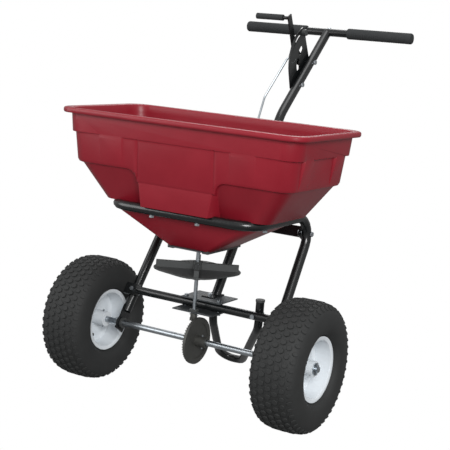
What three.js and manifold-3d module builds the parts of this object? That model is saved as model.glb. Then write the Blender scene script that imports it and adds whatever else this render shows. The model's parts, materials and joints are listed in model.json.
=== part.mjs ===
// Walk-behind broadcast spreader: a moulded hopper in a bent-tube frame, a wheel-driven impeller under
// the hopper floor, and a hand lever on the push handle that slides the shut-off gate.
//
// Millimetres, +Z up. X runs along the axle, -Y is the front and the push handle is at +Y. Every piece is
// laid out with the hopper rim level, and the whole machine is then tipped back by parkAngle about the
// axle, so that it stands on its tyres and on the stand tube.

import * as THREE from 'three';
import { mergeVertices } from 'three/addons/utils/BufferGeometryUtils.js';
import Module from 'manifold-3d';

const wasm = await Module();
wasm.setup();

// ---------------------------------------------------------------- driving dimensions

const degrees = Math.PI / 180;
const parkAngle = 9 * degrees;

// fits
const seatGap = 0.3;        // between pieces that rest on each other
const runClearance = 0.35;  // radial, between a shaft and its bore
const boltClearance = 0.25; // radial, between a bolt and its hole

// wheels and axle
const tyreRadius = 165;
const tyreWidth = 128;
const tyreWall = 8;
const beadRadius = 76;
const wheelOffset = 316;    // from the centre to the middle of each tyre
const rimWidth = 98;
const rimWall = 3;
const rimLipHeight = 7;
const rimLipThickness = 3;
const rimTaper = 4;         // the rim's inside narrows by this towards its disc
const discThickness = 4;
const hubRadius = 20;
const hubLength = 82;
const axleRadius = 8;
const axleOverhang = 10;    // axle past the hub's outer end
const axleCollarRadius = 12;
const axleCollarWidth = 6;
const washerRadius = 16;
const washerThickness = 2.5;
const cotterRadius = 2;
const cotterLength = 28;
const pinRadius = 2.5;
const pinOverhang = 4;      // pin past each side of the hub it locks
const drivePinInset = 12;   // from the hub's inner end
const valveRadius = 5;
const valveLength = 34;
const valvePlace = [-38, -40];

// frame tube
const tubeRadius = 12.5;
const tubeWall = 1.5;
const frameHalfWidth = 212;
const frameFront = -108;
const frameHeight = 503;
const frameCornerRadius = 60;
const legBendRadius = 50;
const legSpread = 226;      // legs at the axle
const legRake = 0.6456;     // rearward run of a leg for each unit of rise
const paddleWidth = 36;
const paddleThickness = 5;
const paddleLength = 70;
const paddleTail = 22;      // paddle past the axle
const bushWall = 4;
const axleFlangeRadius = 15;
const bushFlangeThickness = 5;

// cross tube, gear plates, rear brace
const crossTubeRadius = 11;
const crossAboveAxle = 87;
const crossFlatLength = 46;
const crossFlatHeight = 32;
const crossFlatThickness = 5;
const plateThickness = 3;
const plateHalfWidth = 60;
const lowerPlateY = [-12, 60];
const upperPlateY = [26, 116];
const plateBoltX = 50;
const braceAlong = 210;     // from the handle's foot to the brace, along the handle
const braceBoltZ = 458;
const braceHeight = 30;
const braceThickness = 4;
const braceEarLength = 34;
const braceEarDrop = 6;
const boltRadius = 4;
const boltHeadRadius = 6.5;
const boltHeadHeight = 5;

// hopper, outer sizes from the rim down; insets are [across, along Y] per side
const rimZ = 737;
const rimDepth = 13;
const wall = 4;
const rimHalfWidth = 352;
const rimY = [-164, 186];
const rimCorner = 45;
const rimOverhang = [21, 18];
const upperBandDraft = [3.5, 1.5];
const stepZ = 680;
const stepInset = [12, 9];
const lowerBandDraft = [3.5, 3];
const bandFootZ = 603;
const pocketInset = [9, 8];
const shelfHalfWidth = 240;
const shelfY = [-89.5, 120];
const shelfCorner = 26;
const funnelSkirt = 26;     // upright part of the funnel below the shelf
const funnelHeight = 76;
const frameToFunnel = 2.5;
const outletHalfWidth = 60;
const outletY = [-53, 108];
const outletCorner = 18;
const bulgeTopHalfWidth = 110;
const bulgeBottomHalfWidth = 92;
const bulgeDraft = 6;
const frontCradleX = [-78, 57];
const sideCradleY = -45;

// shut-off gate
const gateThickness = 3;
const gateHalfWidth = 48;
const gateY = [-66, 112];
const gateTravel = 44;
const windowHalfWidth = 34;
const windowMargin = 5;     // gate left between its window and the closed ports
const portFront = 14;
const portLength = 38;
const portWidth = 14;
const portPitch = 22;
const tongueX = -40;
const tongueWidth = 26;
const tongueEnd = 214;
const rodFootY = 190;
const rodFootSlack = 3.2;   // radial, because the rod's foot is left an open pivot
const railWidth = 12;
const railHeight = 8;
const railLip = 5;

// impeller drive
const gearTeeth = 50;
const pinionTeeth = 8;
const gearPitchRadius = 55;
const toothFace = 8;
const toothThickness = 2.3;
const toothHeight = 3.7;
const toothClearance = 0.25;
const gearWeb = 4;
const gearRimThickness = 7;
const gearRimBelow = 4;     // rim past the teeth, towards the hub
const gearRimAbove = 2;
const gearHubRadius = 14.5;
const gearHubLength = 27;
const pinionHeight = 21;
const collarRadius = 9;
const collarHeight = 10;
const pinionPinRadius = 1.6;
const pinionPinLength = 26;
const shaftRadius = 5;
const shaftTop = 466;
const shaftFlange = 4;      // bush flange past its spigot
const impellerRadius = 112;
const impellerFlat = 0.86;  // share of the radius left between the impeller's four corners
const impellerZ = 348;
const impellerThickness = 4;
const impellerHubRadius = 13;
const impellerHubHeight = 47;
const impellerHubDrop = 23; // hub below the disc
const bladeHeight = 17;
const bladeThickness = 12;
const bladeAngle = 31 * degrees;
const earWidth = 30;
const earHeight = 28;
const earThickness = 3;
const agitatorZ = 436;
const agitatorRadius = 2.5;
const agitatorReach = 38;

// handle
const handleFootY = 104;
const handleBend = [381, 738];
const handleTop = [623, 970];
const handleBendRadius = 120;
const footPadHalfWidth = 18;
const footPadFront = -44;   // pad and its bolt, from the handle's foot
const footPadBack = 12;
const footBoltY = -30;
const spliceAlong = 340;    // from the foot to where the two handle tubes meet
const spliceLength = 60;
const barRadius = 11;
const barHalfLength = 262;
const barSeat = 5;          // from the tube's end to the middle of the bar
const barNutDepth = 18;
const gripRadius = 15.5;
const gripLength = 196;
const gripEnd = 4;

// quadrant, rate stop, lever: outlines are [y, z] from the lever's pivot
const pivotAlong = 209;     // from the handle's bend to the lever's pivot
const quadrantBoltPitch = 91;
const quadrantThickness = 3;
const quadrantRadius = 104;
const quadrantArc = [112 * degrees, 200 * degrees];
const quadrantHead = [[17, 2], [10, 16], [-14, 60], [-24, 80], [-30, 95]];
const quadrantTail = [[-84, -76], [-68, -80]];
const slotRadius = 91;
const slotWidth = 7;
const slotArc = [115 * degrees, 163 * degrees];
const windowArcRadius = 52;
const windowArcWidth = 16;
const windowArcs = [[135 * degrees, 150 * degrees], [177 * degrees, 200 * degrees]];
const stopClearance = 0.5;
const stopKnobRadius = 9;
const stopKnobHeight = 11;
const stopNutHeight = 3.5;
const leverThickness = 4;
const leverStandoff = 12;   // from the quadrant to the lever
const leverBossRadius = 10;
const leverOutline = [
  [13, -2], [9, 10], [0, 13], [-46, 50], [-87, 131], [-104, 122], [-66, 41], [-76, 12], [-71, -1],
  [-58, -3], [-4, -13], [8, -10]];
const leverGripPlace = [-92, 119];
const leverPegRadius = 5;
const leverPegLength = 95;
const leverGripRadius = 8.5;
const leverGripLength = 85;
const leverGripSetback = 18;

// control rod
const rodRadius = 3;
const rodPlace = [-65, 8];  // rod's hook, from the lever's pivot
const rodHookEnd = 6;       // hook past the lever
const rodHookRadius = 7;
const rodKneeRun = 115;
const rodKneeDrop = 108;
const rodBendRadius = 30;
const rodFootTail = 14;

// stand
const standRadius = 11;
const standArmY = 97;
const standArmBendZ = 198;
const standArmRadius = 40;
const standFoot = [-35, 270];
const standFootRun = 74;
const standFootRadius = 34;
const standPostX = 158;
const standPostBendZ = 216;
const standPostAbove = 33;  // post past the cross tube it is bolted to
const capHeight = 6;

// ---------------------------------------------------------------- materials

const finish = (color, roughness, metalness) => new THREE.MeshStandardMaterial({ color, roughness, metalness });
const moulding = () => finish(0x8c2634, 0.45, 0);
const blackPaint = () => finish(0x26282a, 0.4, 0.1);
const darkPlastic = () => finish(0x3c3e3e, 0.6, 0);
const foam = () => finish(0x333535, 0.85, 0);
const rubber = () => finish(0x2f3030, 0.9, 0);
const whitePaint = () => finish(0xd5dbe0, 0.35, 0.1);
const zinc = () => finish(0xb4bac0, 0.3, 0.9);
const castMetal = () => finish(0x5a5a58, 0.55, 0.6);
const sheetSteel = () => finish(0x55595b, 0.45, 0.6);

// ---------------------------------------------------------------- geometry helpers

const alongX = new THREE.Matrix4().makeRotationZ(-Math.PI / 2);
const alongZ = new THREE.Matrix4().makeRotationX(Math.PI / 2);

// a bore's corners stand out so that its flats clear the shaft
const boreRadius = (shaft, clearance, sides) => (shaft + clearance) / Math.cos(Math.PI / sides);

const cylinder = (radius, length, sides, direction) => {
  const geometry = new THREE.CylinderGeometry(radius, radius, length, sides);
  if (direction === 'x') geometry.applyMatrix4(alongX);
  if (direction === 'z') geometry.applyMatrix4(alongZ);
  return geometry;
};

const box = (xMin, xMax, yMin, yMax, zMin, zMax) => new THREE
  .BoxGeometry(xMax - xMin, yMax - yMin, zMax - zMin)
  .translate((xMin + xMax) / 2, (yMin + yMax) / 2, (zMin + zMax) / 2);

// a ring or disc about X from a closed profile of [radius, x] pairs
const turned = (profile, sides, direction = 'x') => {
  const points = profile.map(([radius, along]) => new THREE.Vector2(radius, along));
  points.push(points[0].clone());
  const geometry = new THREE.LatheGeometry(points, sides);
  geometry.applyMatrix4(direction === 'x' ? alongX : alongZ);
  return geometry;
};

// an outline in the YZ plane, extruded along X from xMin
const plateYZ = (shape, xMin, thickness) => new THREE
  .ExtrudeGeometry(shape, { depth: thickness, bevelEnabled: false, curveSegments: 5 })
  .applyMatrix4(new THREE.Matrix4().makeBasis(
    new THREE.Vector3(0, 1, 0), new THREE.Vector3(0, 0, 1), new THREE.Vector3(1, 0, 0)))
  .translate(xMin, 0, 0);

// an outline in the XY plane, extruded up from zMin
const plateXY = (shape, zMin, thickness) => new THREE
  .ExtrudeGeometry(shape, { depth: thickness, bevelEnabled: false, curveSegments: 5 })
  .translate(0, 0, zMin);

const polygon = (points) => new THREE.Shape(points.map(([x, y]) => new THREE.Vector2(x, y)));

const circle = (radius, sides) => {
  const points = [];
  for (let i = 0; i < sides; i += 1) {
    const angle = 2 * Math.PI * i / sides;
    points.push(new THREE.Vector2(radius * Math.cos(angle), radius * Math.sin(angle)));
  }
  return points;
};

// A tube's centre line: straight runs joined by arcs. Its stations are the ends of the straights and
// a few points on each arc, so that a straight run is a single step of the extrusion.
class BentPath extends THREE.Curve {
  constructor(corners, radii, arcStep = Math.PI / 10) {
    super();
    this.stations = [];
    const add = (place, tangent) => this.stations.push({ place, tangent });
    corners.forEach((corner, i) => {
      if (i === 0 || i === corners.length - 1) {
        const [a, b] = i === 0 ? [corner, corners[1]] : [corners[i - 1], corner];
        add(corner, b.clone().sub(a).normalize());
        return;
      }
      const before = corner.clone().sub(corners[i - 1]).normalize();
      const after = corners[i + 1].clone().sub(corner).normalize();
      const turn = before.angleTo(after);
      const radius = Array.isArray(radii) ? radii[i - 1] : radii;
      const setback = radius * Math.tan(turn / 2);
      const start = corner.clone().addScaledVector(before, -setback);
      const inward = after.clone().addScaledVector(before, -after.dot(before)).normalize();
      const centre = start.clone().addScaledVector(inward, radius);
      const steps = Math.max(2, Math.round(turn / arcStep));
      for (let k = 0; k <= steps; k += 1) {
        const angle = turn * k / steps;
        const place = centre.clone()
          .addScaledVector(inward, -radius * Math.cos(angle))
          .addScaledVector(before, radius * Math.sin(angle));
        const tangent = before.clone().multiplyScalar(Math.cos(angle))
          .addScaledVector(inward, Math.sin(angle));
        add(place, tangent);
      }
    });
  }

  get steps() {
    return this.stations.length - 1;
  }

  between(t, key) {
    const place = Math.min(Math.max(t, 0), 1) * this.steps;
    const index = Math.min(Math.floor(place + 1e-6), this.steps - 1);
    return this.stations[index][key].clone().lerp(this.stations[index + 1][key], place - index);
  }

  getPoint(t, target = new THREE.Vector3()) {
    return target.copy(this.between(t, 'place'));
  }

  getTangent(t, target = new THREE.Vector3()) {
    return target.copy(this.between(t, 'tangent')).normalize();
  }

  getPointAt(u, target) {
    return this.getPoint(u, target);
  }

  getTangentAt(u, target) {
    return this.getTangent(u, target);
  }
}

const point = (x, y, z) => new THREE.Vector3(x, y, z);

// a round bar, or a tube when it has a wall, along a bent path
const bent = (path, radius, thickness = 0, corners = 12) => {
  const shape = new THREE.Shape(circle(radius, corners));
  if (thickness > 0) shape.holes.push(new THREE.Path(circle(radius - thickness, corners)));
  return new THREE.ExtrudeGeometry(shape, { steps: path.steps, extrudePath: path, bevelEnabled: false });
};

const straightTube = (from, to, radius, thickness) => bent(new BentPath([from, to]), radius, thickness);

// turns +X to a direction
const pointing = (direction) => new THREE.Matrix4().makeRotationFromQuaternion(
  new THREE.Quaternion().setFromUnitVectors(point(1, 0, 0), direction));

// ---------------------------------------------------------------- solids

const solid = (geometry) => {
  const bare = geometry.index ? geometry.toNonIndexed() : geometry.clone();
  bare.deleteAttribute('normal');
  bare.deleteAttribute('uv');
  const merged = mergeVertices(bare, 1e-3);
  const corners = merged.index.array;
  const kept = [];
  for (let i = 0; i < corners.length; i += 3) {
    const [a, b, c] = [corners[i], corners[i + 1], corners[i + 2]];
    if (a !== b && b !== c && c !== a) kept.push(a, b, c);
  }
  return new wasm.Manifold(new wasm.Mesh({
    numProp: 3,
    vertProperties: new Float32Array(merged.attributes.position.array),
    triVerts: new Uint32Array(kept),
  }));
};

const join = (...geometries) => geometries
  .map((item) => (item.isBufferGeometry ? solid(item) : item))
  .reduce((sum, item) => sum.add(item));

const cut = (body, ...tools) => tools
  .map((item) => (item.isBufferGeometry ? solid(item) : item))
  .reduce((rest, tool) => rest.subtract(tool), body.isBufferGeometry ? solid(body) : body);

const geometryOf = (body) => {
  const { numProp, vertProperties, triVerts } = body.getMesh();
  const positions = new Float32Array(vertProperties.length / numProp * 3);
  for (let i = 0; i < positions.length / 3; i += 1) {
    for (let k = 0; k < 3; k += 1) positions[3 * i + k] = vertProperties[numProp * i + k];
  }
  const geometry = new THREE.BufferGeometry();
  geometry.setAttribute('position', new THREE.BufferAttribute(positions, 3));
  geometry.setIndex(new THREE.BufferAttribute(new Uint32Array(triVerts), 1));
  return geometry;
};

const spreader = new THREE.Group();

const addPart = (name, body, material, { position = [0, 0, 0], rotation = [0, 0, 0], direction } = {}) => {
  const geometry = body.isBufferGeometry ? body : geometryOf(body);
  geometry.computeVertexNormals();
  const mesh = new THREE.Mesh(geometry, material);
  mesh.name = name;
  mesh.position.set(...position);
  mesh.rotation.set(...rotation);
  if (direction) mesh.quaternion.setFromUnitVectors(point(1, 0, 0), direction);
  spreader.add(mesh);
};

// a headed bolt along +X with its nut, from its head's seat to its nut's seat
const bolt = (grip) => join(
  cylinder(boltHeadRadius, boltHeadHeight, 6, 'x').translate(-boltHeadHeight / 2 - seatGap, 0, 0),
  cylinder(boltRadius, grip + boltHeadHeight + 2 * seatGap, 8, 'x').translate(grip / 2, 0, 0),
  cylinder(boltHeadRadius, boltHeadHeight, 6, 'x').translate(grip + boltHeadHeight / 2 + seatGap, 0, 0),
);

const boltHole = (length, direction) => cylinder(
  boreRadius(boltRadius, boltClearance, 8), length, 8, direction);

// ---------------------------------------------------------------- derived places

const axleZ = tyreRadius;
const crossTubeZ = axleZ + crossAboveAxle;
const legY = (z) => (z - axleZ) * legRake;
const legX = (z) => legSpread + (frameHalfWidth - legSpread) * (z - axleZ) / (frameHeight - axleZ);
const legAngle = Math.atan(legRake);
const shelfZ = frameHeight + tubeRadius + seatGap;
const outletZ = shelfZ - funnelSkirt - funnelHeight;
const gateTop = outletZ - seatGap;
const gateBottom = gateTop - gateThickness;
const hubInnerX = wheelOffset - hubLength / 2;
const hubOuterX = wheelOffset + hubLength / 2;
const sides = [['left', -1], ['right', 1]];

// the cross tube lies in front of the legs, with the middle of its flats on its own axis
const crossStandoff = tubeRadius + seatGap + crossFlatThickness / 2;
const crossLegZ = crossTubeZ - crossStandoff * Math.sin(legAngle);
const crossY = legY(crossLegZ) - crossStandoff * Math.cos(legAngle);
const crossTop = crossTubeZ + crossTubeRadius + seatGap;
const crossBottom = crossTubeZ - crossTubeRadius - seatGap;
const upperPlateTop = crossTop + plateThickness;

const handleFoot = point(0, handleFootY, upperPlateTop + seatGap);
const handleElbow = point(0, ...handleBend);
const handleEnd = point(0, ...handleTop);
const lowerDirection = handleElbow.clone().sub(handleFoot).normalize();
const upperDirection = handleEnd.clone().sub(handleElbow).normalize();
const forward = point(0, -lowerDirection.z, lowerDirection.y);
const legForward = point(0, -Math.cos(legAngle), Math.sin(legAngle));

// ---------------------------------------------------------------- hopper

const section = (z, halfWidth, [front, back], corner) => ({ z, halfWidth, front, back, corner });

const inset = ({ z, halfWidth, front, back, corner }, [across, along], drop = 0) => section(
  z - drop, halfWidth - across, [front + along, back - along], Math.max(corner - along, 4));

// the inside of the moulding lies one wall in from its outside, and one wall above each floor
const inner = (outer, raise = wall) => inset(outer, [wall, wall], -raise);

const rounded = ({ z, halfWidth, front, back, corner }) => {
  const arcSteps = 4;
  const centres = [
    [halfWidth - corner, back - corner], [corner - halfWidth, back - corner],
    [corner - halfWidth, front + corner], [halfWidth - corner, front + corner],
  ];
  const points = [];
  centres.forEach(([x, y], quarter) => {
    for (let k = 0; k <= arcSteps; k += 1) {
      const angle = (quarter + k / arcSteps) * Math.PI / 2;
      points.push(point(x + corner * Math.cos(angle), y + corner * Math.sin(angle), z));
    }
  });
  return points;
};

// a closed solid through rings of equal point counts, listed from the top down
const loft = (rings) => {
  const positions = [];
  const face = (a, b, c) => positions.push(...a.toArray(), ...b.toArray(), ...c.toArray());
  const count = rings[0].length;
  for (let r = 0; r + 1 < rings.length; r += 1) {
    for (let i = 0; i < count; i += 1) {
      const j = (i + 1) % count;
      face(rings[r][i], rings[r + 1][i], rings[r][j]);
      face(rings[r][j], rings[r + 1][i], rings[r + 1][j]);
    }
  }
  const [top, bottom] = [rings[0], rings[rings.length - 1]];
  for (let i = 1; i + 1 < count; i += 1) {
    face(top[0], top[i], top[i + 1]);
    face(bottom[0], bottom[i + 1], bottom[i]);
  }
  const geometry = new THREE.BufferGeometry();
  geometry.setAttribute('position', new THREE.Float32BufferAttribute(positions, 3));
  return geometry;
};

const tier = (...sections) => loft(sections.map(rounded));
const raised = (outer, by) => ({ ...outer, z: outer.z + by });

const rim = section(rimZ, rimHalfWidth, rimY, rimCorner);
const bandTop = inset(rim, rimOverhang);
const bandFoot = inset(bandTop, upperBandDraft, rimZ - stepZ);
const lowerBandTop = inset(bandFoot, stepInset);
const lowerBandFoot = inset(lowerBandTop, lowerBandDraft, stepZ - bandFootZ);
const pocketTop = inset(lowerBandFoot, pocketInset);
const shelf = section(shelfZ, shelfHalfWidth, shelfY, shelfCorner);
const funnelTop = section(
  shelfZ, frameHalfWidth - tubeRadius - frameToFunnel, shelfY, frameCornerRadius - tubeRadius - frameToFunnel);
const funnelFoot = raised(funnelTop, -funnelSkirt);
const outlet = section(outletZ, outletHalfWidth, outletY, outletCorner);

// front and rear bulges, which carry the lower band down to the shelf between the corner pockets
const bulge = (by, floor, rear) => {
  const top = bandFootZ + 10;
  const front = lowerBandFoot.front + by;
  const place = (x, y, z) => (rear ? point(-x, rimY[0] + rimY[1] - y, z) : point(x, y, z));
  const ring = (z, halfWidth, y) => [
    place(halfWidth - by, 0, z), place(by - halfWidth, 0, z),
    place(by - halfWidth, y, z), place(halfWidth - by, y, z)];
  return loft([
    ring(top, bulgeTopHalfWidth, front + 0.5),
    ring(bandFootZ, bulgeTopHalfWidth, front + 0.5),
    ring(floor, bulgeBottomHalfWidth, front + bulgeDraft),
  ]);
};

const hopperOutside = join(
  tier(rim, raised(rim, -rimDepth)),
  tier(raised(bandTop, -1), bandFoot),
  tier(raised(lowerBandTop, 1), lowerBandFoot),
  tier(raised(pocketTop, 1), shelf),
  tier(raised(funnelTop, 1), funnelFoot, outlet),
  bulge(0, shelfZ, false),
  bulge(0, shelfZ, true),
);

const hopperInside = join(
  tier(inner(bandTop, 1), inner(bandFoot)),
  tier(inner(lowerBandTop, wall + 1), inner(lowerBandFoot)),
  tier(inner(pocketTop, wall + 1), inner(shelf)),
  tier(inner(funnelTop, wall + 1), inner(funnelFoot), inner(outlet)),
  bulge(wall, shelfZ + wall, false),
  bulge(wall, shelfZ + wall, true),
);

const ports = [-1, 0, 1].map((step) => box(
  step * portPitch - portWidth / 2, step * portPitch + portWidth / 2,
  portFront, portFront + portLength, outletZ - wall, outletZ + 2 * wall));

const cradlePlaces = [
  ...frontCradleX.map((x) => [x, frameFront]),
  ...sides.map(([, side]) => [side * frameHalfWidth, sideCradleY]),
];
const cradleHoles = cradlePlaces.map(([x, y]) => boltHole(4 * tubeRadius, 'z').translate(x, y, frameHeight));

const shaftSpigot = shaftRadius + bushWall;
const spigotHole = (z) => cylinder(boreRadius(shaftSpigot, seatGap, 12), 6 * wall, 12, 'z').translate(0, 0, z);

addPart('hopper', cut(hopperOutside, hopperInside, ...ports, spigotHole(outletZ), ...cradleHoles), moulding());

// ---------------------------------------------------------------- frame tube

const paddleReach = paddleLength - paddleTail;
const legFootZ = axleZ + 0.7 * paddleReach * Math.cos(legAngle);
const onLeg = (side, z) => point(side * legX(z), legY(z), z);

const framePath = new BentPath([
  onLeg(-1, legFootZ), onLeg(-1, frameHeight),
  point(-frameHalfWidth, frameFront, frameHeight), point(frameHalfWidth, frameFront, frameHeight),
  onLeg(1, frameHeight), onLeg(1, legFootZ),
], [legBendRadius, frameCornerRadius, frameCornerRadius, legBendRadius]);

// where the right-hand leg passes a height
const legCrossing = (z) => {
  const places = framePath.stations.map((station) => station.place).filter(({ x }) => x > 0);
  const next = places.findIndex((place) => place.z < z);
  const [above, below] = [places[next - 1], places[next]];
  return above.clone().lerp(below, (above.z - z) / (above.z - below.z));
};

const axleSpigot = axleRadius + runClearance + bushWall;
const paddle = (side) => cut(
  box(-paddleThickness / 2, paddleThickness / 2, -paddleWidth / 2, paddleWidth / 2, -paddleTail, paddleReach)
    .rotateX(-legAngle),
  cylinder(boreRadius(axleSpigot, seatGap, 16), 4 * paddleThickness, 16, 'x'),
).translate(side * legSpread, 0, axleZ);

const crossBoltHoles = sides.map(([, side]) => boltHole(6 * tubeRadius, 'x')
  .applyMatrix4(pointing(legForward)).translate(side * legX(crossLegZ), crossY, crossTubeZ));

const braceBolt = legCrossing(braceBoltZ);
const braceBoltHoles = sides.map(([, side]) => boltHole(4 * tubeRadius, 'x')
  .translate(side * braceBolt.x, braceBolt.y, braceBolt.z));

addPart('frame_tube', cut(
  join(bent(framePath, tubeRadius, tubeWall), paddle(-1), paddle(1)),
  ...cradleHoles,
  ...crossBoltHoles,
  ...braceBoltHoles,
), blackPaint());

cradlePlaces.forEach(([x, y], i) => {
  addPart(`cradle_bolt_${i + 1}`, bolt(2 * tubeRadius + seatGap + wall), zinc(), {
    position: [x, y, shelfZ + wall], direction: point(0, 0, -1),
  });
});

// ---------------------------------------------------------------- cross tube and gear plates

const crossEnd = legX(crossLegZ) - tubeRadius - 4;
const crossFlat = (side) => new THREE.BoxGeometry(crossFlatLength, crossFlatThickness, crossFlatHeight)
  .rotateX(-legAngle).translate(side * legX(crossLegZ), crossY, crossTubeZ);
const plateBoltHoles = sides.map(([, side]) => boltHole(6 * crossTubeRadius, 'z')
  .translate(side * plateBoltX, crossY, crossTubeZ));
const standPostY = crossY + crossTubeRadius + seatGap + standRadius;
const standBoltHole = boltHole(8 * standRadius, 'y').translate(standPostX, standPostY, crossTubeZ);

addPart('cross_tube', cut(
  join(straightTube(point(-crossEnd, crossY, crossTubeZ), point(crossEnd, crossY, crossTubeZ),
    crossTubeRadius, tubeWall), crossFlat(-1), crossFlat(1)),
  ...crossBoltHoles,
  ...plateBoltHoles,
  standBoltHole,
), blackPaint());

addPart('gear_plate_lower', cut(
  box(-plateHalfWidth, plateHalfWidth, ...lowerPlateY, crossBottom - plateThickness, crossBottom),
  spigotHole(crossBottom),
  ...plateBoltHoles,
), sheetSteel());

const footBolt = point(0, handleFootY + footBoltY, upperPlateTop + seatGap + plateThickness);
const footBoltHole = boltHole(12 * plateThickness, 'z').translate(0, footBolt.y, upperPlateTop);

addPart('gear_plate_upper', cut(
  box(-plateHalfWidth, plateHalfWidth, ...upperPlateY, crossTop, upperPlateTop),
  ...plateBoltHoles,
  footBoltHole,
), sheetSteel());

sides.forEach(([name, side]) => {
  addPart(`plate_bolt_${name}`, bolt(2 * (crossTubeRadius + plateThickness + seatGap)), zinc(), {
    position: [side * plateBoltX, crossY, upperPlateTop], direction: point(0, 0, -1),
  });
  const flatFace = point(side * legX(crossLegZ), crossY, crossTubeZ)
    .addScaledVector(legForward, crossFlatThickness / 2);
  addPart(`cross_tube_bolt_${name}`, bolt(2 * tubeRadius + seatGap + crossFlatThickness), zinc(), {
    position: flatFace.toArray(), direction: legForward.clone().negate(),
  });
});

// ---------------------------------------------------------------- rear brace

// the brace lies flat against the front of the handle and its ears run forward to the legs
const braceHalf = frameHalfWidth - tubeRadius - seatGap;
const braceMiddle = handleFoot.clone().addScaledVector(lowerDirection, braceAlong)
  .addScaledVector(forward, tubeRadius + seatGap + braceThickness / 2);
const handleAngle = Math.atan2(lowerDirection.y, lowerDirection.z);
const ear = (side) => new THREE.BoxGeometry(braceThickness, braceEarLength, braceHeight + braceEarDrop)
  .translate(side * (braceHalf - braceThickness / 2), (braceThickness - braceEarLength) / 2, -braceEarDrop / 2);
const braceHandleHole = boltHole(6 * tubeRadius, 'x').applyMatrix4(pointing(forward))
  .translate(0, braceMiddle.y, braceMiddle.z);

addPart('rear_brace', cut(
  join(
    new THREE.BoxGeometry(2 * braceHalf, braceThickness, braceHeight),
    ear(-1),
    ear(1),
  ).transform(new THREE.Matrix4().makeTranslation(braceMiddle)
    .multiply(new THREE.Matrix4().makeRotationX(-handleAngle)).toArray()),
  ...braceBoltHoles,
  braceHandleHole,
), blackPaint());

sides.forEach(([name, side]) => {
  const outside = braceBolt.x + tubeRadius;
  addPart(`brace_bolt_${name}`, bolt(outside - braceHalf + braceThickness), zinc(), {
    position: [side * outside, braceBolt.y, braceBolt.z], direction: point(-side, 0, 0),
  });
});

addPart('brace_handle_bolt', bolt(2 * tubeRadius + seatGap + braceThickness), zinc(), {
  position: braceMiddle.clone().addScaledVector(forward, braceThickness / 2).toArray(),
  direction: forward.clone().negate(),
});

// ---------------------------------------------------------------- gate

const [gateFront, gateBack] = gateY;
const [tongueLeft, tongueRight] = [tongueX - tongueWidth / 2, tongueX + tongueWidth / 2];
const gateOutline = polygon([
  [-gateHalfWidth, gateFront], [gateHalfWidth, gateFront], [gateHalfWidth, gateBack],
  [tongueRight, gateBack], [tongueRight, tongueEnd], [tongueLeft, tongueEnd],
  [tongueLeft, gateBack], [-gateHalfWidth, gateBack],
]);

// the window bares the ports when the gate is drawn back, and clears the shaft all the way
addPart('gate', cut(
  plateXY(gateOutline, gateBottom, gateThickness),
  box(-windowHalfWidth, windowHalfWidth, -gateTravel - shaftRadius - gateThickness, portFront - windowMargin,
    gateBottom - wall, gateTop + wall),
  cylinder(rodRadius + rodFootSlack, 6 * gateThickness, 12, 'z').translate(tongueX, rodFootY, gateBottom),
), sheetSteel());

sides.forEach(([name, side]) => {
  const railBox = (inside, bottom, top) => box(
    Math.min(side * inside, side * (gateHalfWidth + seatGap + railWidth)),
    Math.max(side * inside, side * (gateHalfWidth + seatGap + railWidth)),
    ...outletY, bottom, top);
  addPart(`gate_rail_${name}`, join(
    railBox(gateHalfWidth + seatGap, gateTop - railHeight, gateTop),
    railBox(gateHalfWidth - railLip, gateTop - railHeight, gateBottom - seatGap),
  ), darkPlastic());
});

// ---------------------------------------------------------------- impeller drive

const pinionPitchRadius = gearPitchRadius * pinionTeeth / gearTeeth;
const toothTip = toothHeight / 2 - toothClearance;
const toothRoot = toothHeight / 2;
const pinionZ = axleZ + gearPitchRadius;
const pinionBottom = pinionZ - toothFace / 2 - 1;
const pinionTop = pinionBottom + pinionHeight;
const pinionPinZ = pinionTop - collarHeight / 2;
const shaftRunBore = boreRadius(shaftRadius, runClearance, 12);
const shaftSeatBore = boreRadius(shaftRadius, seatGap, 12);
const pinionPinHole = cylinder(boreRadius(pinionPinRadius, boltClearance, 8), 4 * collarRadius, 8, 'x')
  .translate(0, 0, pinionPinZ);

// the shaft carries a cross-wire inside the hopper that stirs the load
addPart('impeller_shaft', cut(
  join(
    cylinder(shaftRadius, shaftTop - pinionBottom, 12, 'z').translate(0, 0, (shaftTop + pinionBottom) / 2),
    cylinder(agitatorRadius, 2 * agitatorReach, 8, 'x').translate(0, 0, agitatorZ),
  ),
  pinionPinHole,
), zinc());

const ring = (count) => Array.from({ length: count }, (_, i) => i);
const pinionToothRing = ring(pinionTeeth).map((i) => box(
  shaftRadius, pinionPitchRadius + toothTip, -toothThickness / 2, toothThickness / 2,
  pinionZ - toothFace / 2, pinionZ + toothFace / 2,
).rotateZ(2 * Math.PI * i / pinionTeeth));
addPart('pinion', cut(
  join(
    cylinder(pinionPitchRadius - toothRoot, pinionHeight, 16, 'z')
      .translate(0, 0, (pinionBottom + pinionTop) / 2),
    cylinder(collarRadius, collarHeight, 16, 'z').translate(0, 0, pinionTop - collarHeight / 2),
    ...pinionToothRing,
  ),
  cylinder(shaftSeatBore, 2 * pinionHeight, 12, 'z').translate(0, 0, pinionZ),
  pinionPinHole,
), castMetal());

addPart('pinion_pin', cylinder(pinionPinRadius, pinionPinLength, 8, 'x'), zinc(), {
  position: [0, 0, pinionPinZ],
});

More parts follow.
